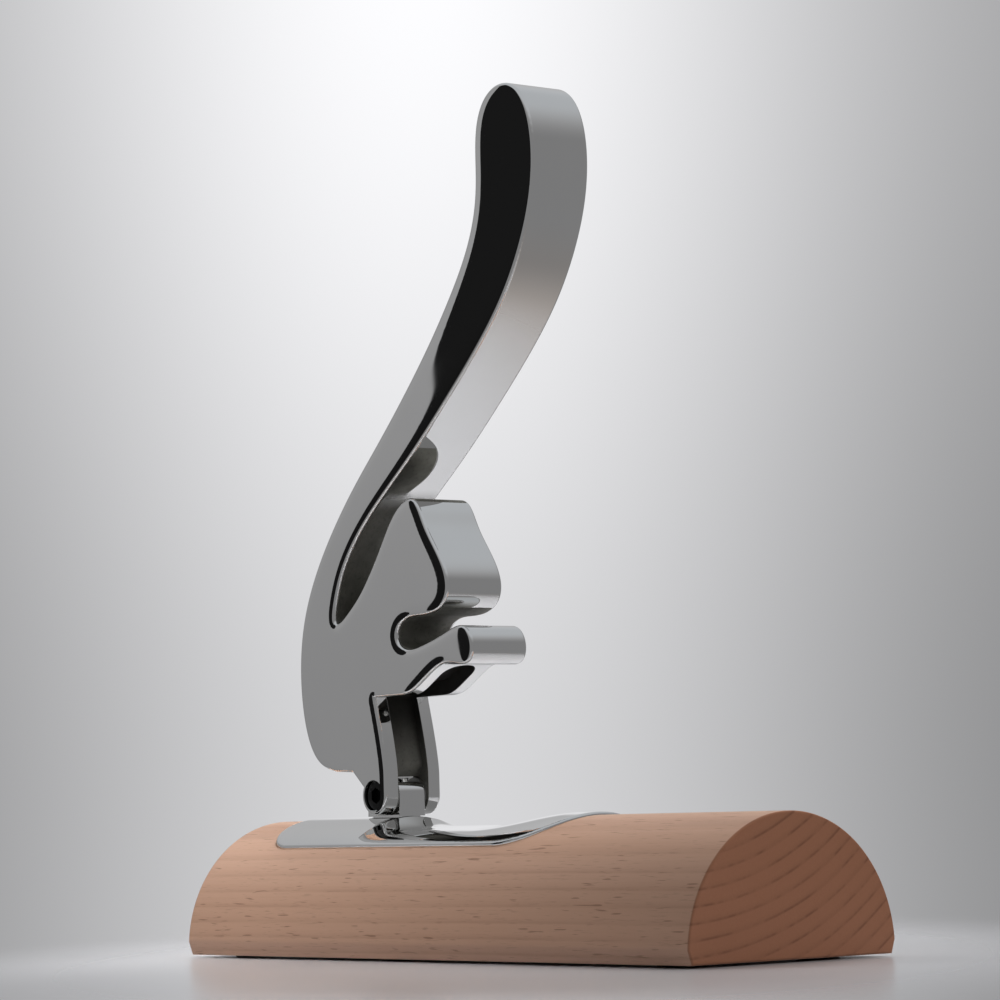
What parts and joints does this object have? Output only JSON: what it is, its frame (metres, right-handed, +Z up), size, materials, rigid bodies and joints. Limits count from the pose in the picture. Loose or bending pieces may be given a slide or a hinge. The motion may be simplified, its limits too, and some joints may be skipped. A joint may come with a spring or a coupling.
{
  "type": "lever nutcracker press",
  "caption": "Tall curved steel lever hinged on a steel post over a dished steel saddle let into a half-round wooden base, for cracking nuts.",
  "frame": {"origin": "middle of the base's length and width, on the surface that the feet stand on", "axes": "+Z up, +X along the base toward the end that the lever is pressed to, +Y across the base, away from the side that the picture shows"},
  "size_m": [0.23, 0.0768, 0.2551],
  "materials": {
    "beech": "oiled, fine dark flecks along the grain",
    "polished_steel": "mirror polished solid steel",
    "plain_steel": "plain bright fasteners and washers",
    "rubber": "matt black"
  },
  "bodies": {
    "base": {"wood_base": "beech", "steel_saddle": "polished_steel", "hinge_post": "polished_steel", "thrust_washer_near": "plain_steel", "thrust_washer_far": "plain_steel", "post_screw_rear": "plain_steel", "post_screw_front": "plain_steel", "post_washer_rear": "plain_steel", "post_washer_front": "plain_steel", "saddle_nut_rear": "plain_steel", "saddle_nut_front": "plain_steel", "saddle_washer_rear": "plain_steel", "saddle_washer_front": "plain_steel", "foot_1": "rubber", "foot_2": "rubber", "foot_3": "rubber", "foot_4": "rubber"},
    "press_lever": {"lever": "polished_steel", "pivot_bolt": "polished_steel", "pivot_nut": "polished_steel"}
  },
  "joints": [
    {"name": "lever_press", "type": "hinge", "parent": "base", "child": "press_lever", "pos_m": [-0.0554, 0, 0.0481], "axis": [0, 1, 0], "range_deg": [0, 45]}
  ]
}
